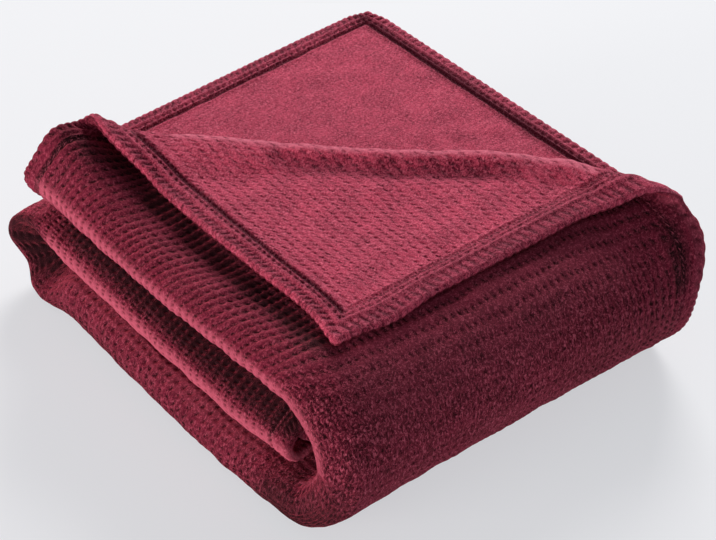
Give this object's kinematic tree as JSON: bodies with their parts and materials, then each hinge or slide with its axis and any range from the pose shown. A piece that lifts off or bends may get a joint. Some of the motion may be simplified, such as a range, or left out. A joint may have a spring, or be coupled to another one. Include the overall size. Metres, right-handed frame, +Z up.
{
  "type": "folded throw blanket",
  "caption": "Folded waffle-fleece throw blanket with stitched hems and its top corner turned forward over a slanting ridge.",
  "frame": {"origin": "middle of the folded stack's box, on its underside", "axes": "+Z up; the front wrap faces -Y and the stacked fold edges face -X"},
  "size_m": [0.3904, 0.4642, 0.1876],
  "materials": {
    "fleece": "matt"
  },
  "bodies": {
    "root": {"throw_blanket": "fleece"}
  },
  "joints": []
}
